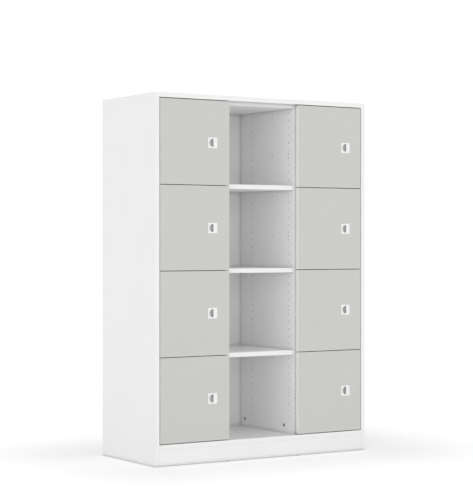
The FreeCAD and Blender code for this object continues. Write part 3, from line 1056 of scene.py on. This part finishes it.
@dataclass
class Studio:
    """Floor, light and camera."""

    lens: float = 117.63
    camera_place: tuple = (-3.7992, -5.9707, 0.9049)
    yaw: float = math.radians(32.512)
    pitch: float = math.radians(-0.222)
    sensor: float = 36.0
    view_end: float = 100.0
    floor_half: float = 60.0
    floor_colours: tuple = ((0.76, 0.76, 0.76), (0.77, 0.77, 0.77))
    floor_cloud_scale: float = 2.0
    floor_roughness: float = 0.9
    glow: float = 0.53
    glow_near: float = 0.355
    shade_reach: float = 0.80
    contact_share: float = 0.55
    contact_reach: float = 0.018
    wall_light: float = 1.02
    roof_light: float = 0.28
    key_light: float = 0.80
    key_way: tuple = (-0.42, -0.60, 0.68)
    key_power: float = 1.5
    bounces: int = 7
    wall_end: float = 0.17
    roof_start: float = 0.35

    def floor(self) -> None:
        """A plain white floor with a painted soft shadow round the object.

        The floor's own glow rises smoothly from glow_near at the object's footprint to glow at
        shade_reach, a painted shadow round the object. Within contact_reach it is cut down to
        contact_share, a painted contact shadow.
        """
        half = self.floor_half
        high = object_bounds()[1]
        mesh = bpy.data.meshes.new("floor")
        mesh.from_pydata([(-half, -half, 0), (half, -half, 0), (half, half, 0), (-half, half, 0)],
                         [], [(0, 1, 2, 3)])
        floor = bpy.data.objects.new("floor", mesh)
        bpy.context.scene.collection.objects.link(floor)
        nodes = Nodes("studio_floor")
        cloud = nodes.ranged(nodes.noise(self.floor_cloud_scale), 0.0, 1.0)
        nodes.link(nodes.blend(cloud, *self.floor_colours), nodes.shader.inputs["Base Color"])
        nodes.shader.inputs["Roughness"].default_value = self.floor_roughness
        nodes.shader.inputs["Specular IOR Level"].default_value = 0.0
        nodes.shader.inputs["Emission Color"].default_value = (1.0, 1.0, 1.0, 1.0)
        away = nodes.add("ShaderNodeVectorMath", operation="ABSOLUTE")
        nodes.link(nodes.place, away.inputs[0])
        past = nodes.add("ShaderNodeVectorMath", operation="SUBTRACT")
        past.inputs[1].default_value = (high.x, high.y, 0.0)
        nodes.link(away.outputs["Vector"], past.inputs[0])
        outside = nodes.add("ShaderNodeVectorMath", operation="MAXIMUM")
        outside.inputs[1].default_value = (0.0, 0.0, 0.0)
        nodes.link(past.outputs["Vector"], outside.inputs[0])
        distance = nodes.add("ShaderNodeVectorMath", operation="LENGTH")
        nodes.link(outside.outputs["Vector"], distance.inputs[0])
        # Painted shadow: the floor's glow is lower near the object's footprint.
        glow = nodes.add("ShaderNodeMapRange", interpolation_type="SMOOTHSTEP",
                         From_Max=self.shade_reach, To_Min=self.glow_near, To_Max=self.glow)
        nodes.link(distance.outputs["Value"], glow.inputs["Value"])
        # Painted contact shadow: the glow is cut down right next to the footprint.
        contact = nodes.add("ShaderNodeMapRange", interpolation_type="SMOOTHSTEP",
                            From_Max=self.contact_reach, To_Min=self.contact_share, To_Max=1.0)
        nodes.link(distance.outputs["Value"], contact.inputs["Value"])
        both = nodes.add("ShaderNodeMath", operation="MULTIPLY")
        nodes.link(glow.outputs["Result"], both.inputs[0])
        nodes.link(contact.outputs["Result"], both.inputs[1])
        nodes.link(both.outputs[0], nodes.shader.inputs["Emission Strength"])
        mesh.materials.append(nodes.material)
        floor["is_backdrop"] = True

    def light(self) -> None:
        """White light from all round, as in a light tent, with a broad key light.

        The key comes from the front left, from above.

        The strength falls from the wall's to the roof's as the height of the direction, from 0 at
        the horizon to 1 overhead, goes from wall_end to roof_start. The key adds key_light times
        the cosine to key_way, raised to key_power.
        """
        world = bpy.data.worlds.new("light_tent")
        world.use_nodes = True
        tree = world.node_tree
        background = tree.nodes["Background"]
        background.inputs["Color"].default_value = (1.0, 1.0, 1.0, 1.0)
        way = tree.nodes.new("ShaderNodeTexCoord")
        parts = tree.nodes.new("ShaderNodeSeparateXYZ")
        spread = tree.nodes.new("ShaderNodeMapRange")
        spread.inputs["From Min"].default_value = self.wall_end
        spread.inputs["From Max"].default_value = self.roof_start
        spread.inputs["To Min"].default_value = self.wall_light
        spread.inputs["To Max"].default_value = self.roof_light
        tree.links.new(way.outputs["Generated"], parts.inputs["Vector"])
        tree.links.new(parts.outputs["Z"], spread.inputs["Value"])
        towards = tree.nodes.new("ShaderNodeVectorMath")
        towards.operation = "DOT_PRODUCT"
        towards.inputs[1].default_value = self.key_way
        facing = tree.nodes.new("ShaderNodeMath")
        facing.operation = "MAXIMUM"
        facing.inputs[1].default_value = 0.0
        total = tree.nodes.new("ShaderNodeMath")
        total.operation = "MULTIPLY_ADD"
        total.inputs[1].default_value = self.key_light
        tree.links.new(way.outputs["Generated"], towards.inputs[0])
        tree.links.new(towards.outputs["Value"], facing.inputs[0])
        key = tree.nodes.new("ShaderNodeMath")
        key.operation = "POWER"
        key.inputs[1].default_value = self.key_power
        tree.links.new(facing.outputs[0], key.inputs[0])
        tree.links.new(key.outputs[0], total.inputs[0])
        tree.links.new(spread.outputs["Result"], total.inputs[2])
        tree.links.new(total.outputs[0], background.inputs["Strength"])
        bpy.context.scene.world = world

    def camera(self) -> None:
        """The camera, level but for a hair, a little over half the object's height."""
        data = bpy.data.cameras.new("camera")
        data.sensor_width = self.sensor
        data.lens = self.lens
        data.clip_end = self.view_end
        camera = bpy.data.objects.new("camera", data)
        camera.location = self.camera_place
        camera.rotation_euler = Euler((math.pi / 2 + self.pitch, 0.0, -self.yaw))
        bpy.context.scene.collection.objects.link(camera)
        bpy.context.scene.camera = camera

    def make(self) -> None:
        """Set up the studio."""
        self.camera()
        self.floor()
        self.light()
        bpy.context.scene.view_settings.view_transform = "Standard"
        bpy.context.scene.cycles.diffuse_bounces = self.bounces


def main() -> None:
    """Build the studio, then the object from the carcass outwards."""
    logging.basicConfig(level=logging.INFO, format="%(message)s")
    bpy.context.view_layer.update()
    Studio().make()
    Carcass().make()
    for side in Side:
        for row in range(1, ROWS + 1):
            Door(side, row).make()


if __name__ == "__main__":
    main()
